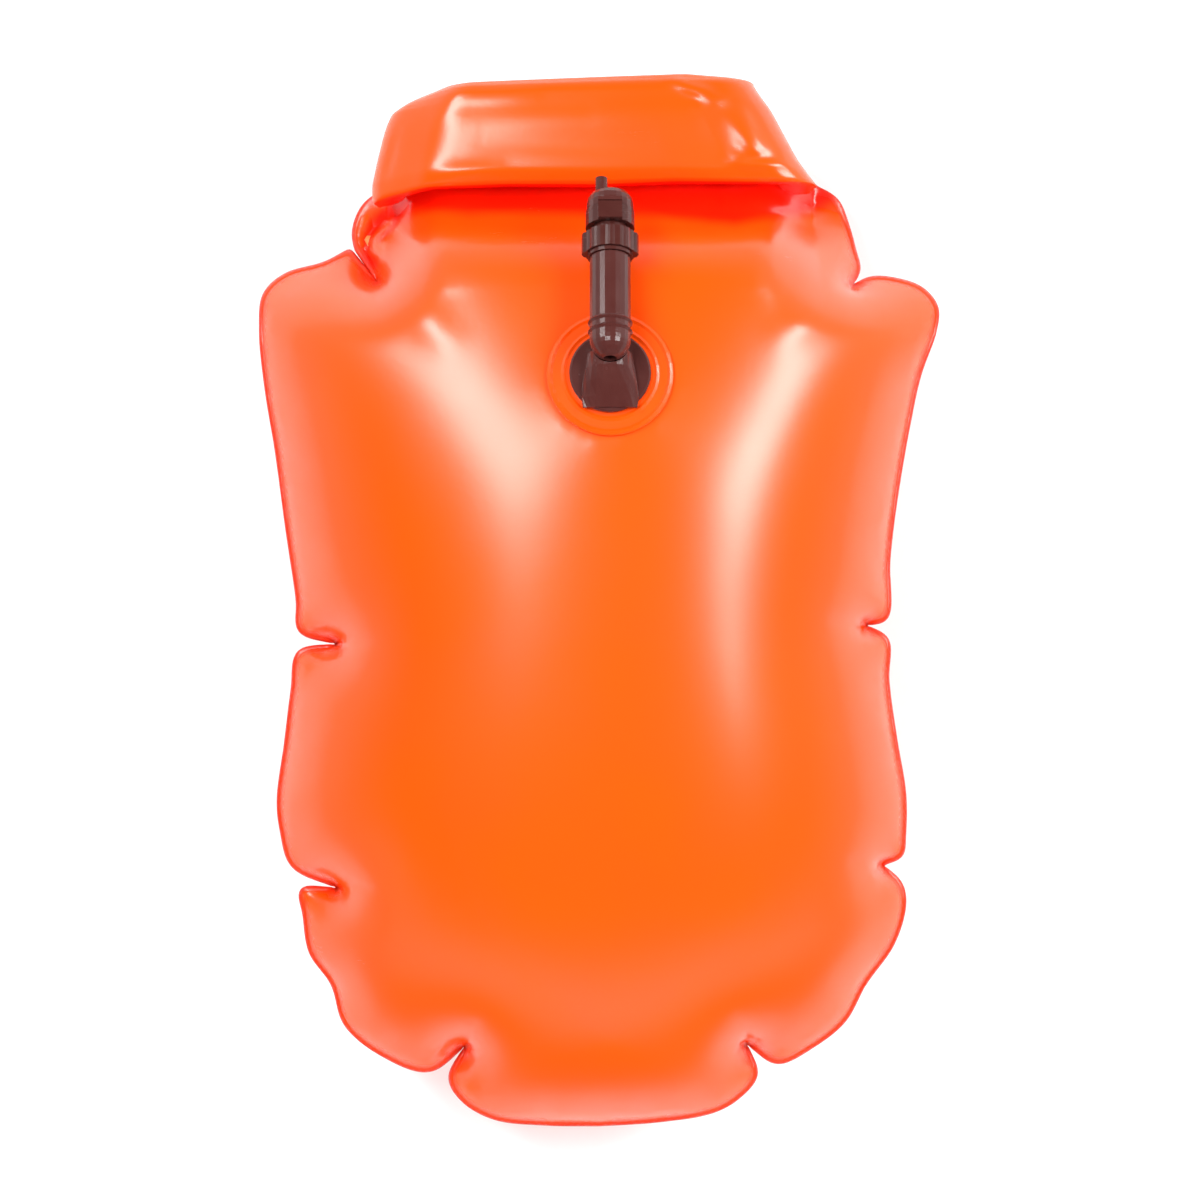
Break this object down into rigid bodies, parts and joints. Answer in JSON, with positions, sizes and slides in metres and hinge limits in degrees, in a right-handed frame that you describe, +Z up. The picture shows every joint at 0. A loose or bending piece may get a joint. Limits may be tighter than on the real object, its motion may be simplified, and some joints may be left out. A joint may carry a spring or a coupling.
{
  "type": "open water swim buoy",
  "caption": "Inflated roll-top dry bag buoy with an oral inflation valve, a buckled mouth strap and a tow ring, lying on its back.",
  "frame": {"origin": "middle of the inflated bag's bounding box, on the surface that it lies on", "axes": "+Z up from the surface, through the front panel; +Y towards the rolled mouth; +X across the bag, to the right when the front is seen with the mouth at the top"},
  "size_m": [0.2988, 0.4625, 0.1481],
  "materials": {
    "orange_film": "glossy coated film",
    "liner_film": "satin coated film",
    "black_rubber": "satin moulded rubber",
    "black_plastic": "satin moulded plastic",
    "webbing": "woven webbing",
    "steel": "polished wire"
  },
  "bodies": {
    "bag": {"front_skin": "orange_film", "rear_skin": "orange_film", "liner_front": "liner_film", "liner_rear": "liner_film", "roll_top": "orange_film", "stiffener_front": "black_plastic", "stiffener_rear": "black_plastic", "webbing_left": "webbing", "webbing_right": "webbing", "buckle_female": "black_plastic", "valve_flange": "orange_film", "valve_boot": "black_rubber"},
    "tube": {"valve_tube": "black_rubber", "valve_housing": "black_plastic", "return_spring": "steel"},
    "twist_ring": {"lock_ring": "black_plastic"},
    "mouth": {"mouthpiece": "black_plastic", "poppet": "black_plastic", "poppet_seal": "black_rubber"},
    "cap": {"dust_cap": "black_rubber"},
    "buckle_tongue": {"buckle_male": "black_plastic"},
    "prong_left_arm": {"prong_left": "black_plastic"},
    "prong_right_arm": {"prong_right": "black_plastic"},
    "tow_ring": {"d_ring": "steel"}
  },
  "joints": [
    {"name": "tube_swing", "type": "hinge", "parent": "bag", "child": "tube", "pos_m": [0.0042, 0.10685, 0.13965], "axis": [1, 0, 0], "range_deg": [0, 68]},
    {"name": "lock_ring_twist", "type": "hinge", "parent": "tube", "child": "twist_ring", "pos_m": [0.0042, 0.10685, 0.13965], "axis": [0, 0.9455, -0.3256], "range_deg": [0, 60]},
    {"name": "mouthpiece_press", "type": "slide", "parent": "tube", "child": "mouth", "axis": [0, -0.9455, 0.3256], "range_m": [0, 0.0025], "stiffness_N_per_m": 400, "springref_m": -0.001, "deforming": ["return_spring"]},
    {"name": "dust_cap_flip", "type": "hinge", "parent": "mouth", "child": "cap", "pos_m": [0.0042, 0.16607, 0.13163], "axis": [1, 0, 0], "range_deg": [0, 140]},
    {"name": "buckle_release", "type": "slide", "parent": "bag", "child": "buckle_tongue", "axis": [1, 0, 0], "range_m": [0, 0.024], "deforming": ["webbing_right", "prong_left", "prong_right"]},
    {"name": "prong_left_squeeze", "type": "hinge", "parent": "buckle_tongue", "child": "prong_left_arm", "pos_m": [0.0101, 0.1957, 0.03322], "axis": [0, 0, -1], "range_deg": [0, 8], "stiffness_Nm_per_rad": 0.2, "springref_deg": -2.86},
    {"name": "prong_right_squeeze", "type": "hinge", "parent": "buckle_tongue", "child": "prong_right_arm", "pos_m": [0.0101, 0.2113, 0.03322], "axis": [0, 0, 1], "range_deg": [0, 8], "stiffness_Nm_per_rad": 0.2, "springref_deg": -2.86},
    {"name": "tow_ring_swing", "type": "hinge", "parent": "bag", "child": "tow_ring", "pos_m": [-0.05, 0.2035, 0.03572], "axis": [0, 1, 0], "range_deg": [-60, 60]}
  ],
  "couplings": [
    {"joint": "prong_right_squeeze", "follows": "prong_left_squeeze", "ratio": 1}
  ]
}
